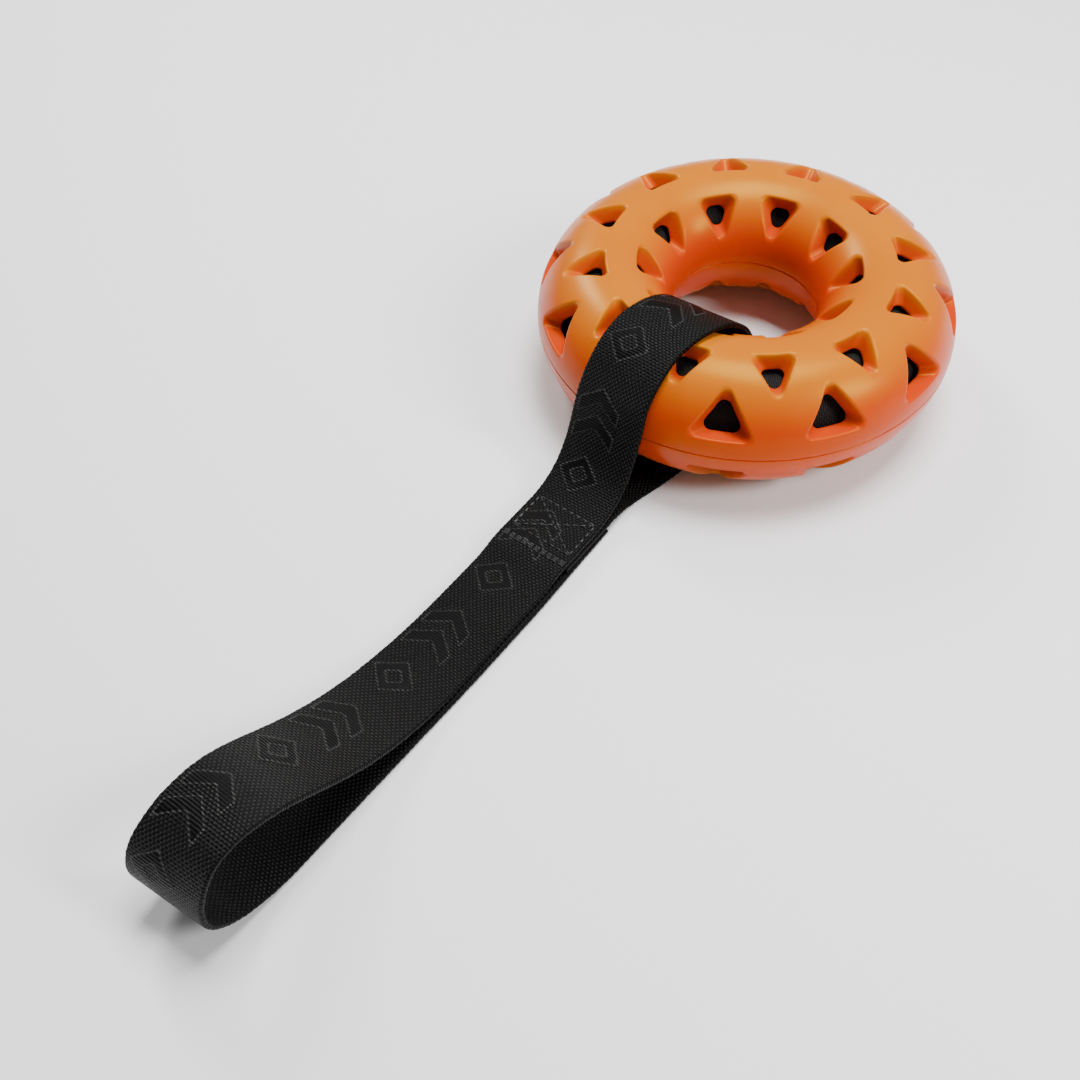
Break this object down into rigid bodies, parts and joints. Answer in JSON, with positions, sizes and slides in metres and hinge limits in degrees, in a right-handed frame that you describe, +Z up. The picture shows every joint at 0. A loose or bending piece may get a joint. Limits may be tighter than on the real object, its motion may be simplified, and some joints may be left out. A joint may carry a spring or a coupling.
{
  "type": "training bumper",
  "caption": "Floating ring bumper for dog training: a rubber ring shell with triangular windows over a cloth-covered foam core, and a webbing strap with a long handle loop.",
  "frame": {"origin": "on the ring's axis, at the surface that the bumper lies on", "axes": "+Z up along the ring's axis, -Y from the ring's axis towards the end of the handle loop, +X to the right seen from the handle's end"},
  "size_m": [0.164, 0.384, 0.058],
  "materials": {
    "shell": "smooth satin thermoplastic rubber",
    "foam": "closed-cell foam",
    "core_cloth": "plain-woven nylon",
    "webbing": "woven nylon webbing with a raised pattern",
    "thread": "bonded nylon thread"
  },
  "bodies": {
    "ring": {"upper_shell": "shell", "lower_shell": "shell", "core_foam": "foam", "core_cover_upper": "core_cloth", "core_cover_lower": "core_cloth", "core_seam_outer": "thread", "core_seam_inner": "thread"},
    "strap_loop": {"webbing_ring_loop": "webbing"},
    "handle": {"webbing_handle_loop": "webbing", "webbing_tail": "webbing", "box_stitch": "thread", "bar_tack_neck": "thread", "bar_tack_handle": "thread"}
  },
  "joints": [
    {"name": "strap_travel", "type": "hinge", "parent": "ring", "child": "strap_loop", "pos_m": [0, 0, 0.029], "axis": [0, 0, 1], "continuous": true},
    {"name": "handle_swing", "type": "hinge", "parent": "strap_loop", "child": "handle", "pos_m": [-0.006, -0.103, 0.00225], "axis": [-1, 0, 0], "range_deg": [-90, 90]}
  ]
}
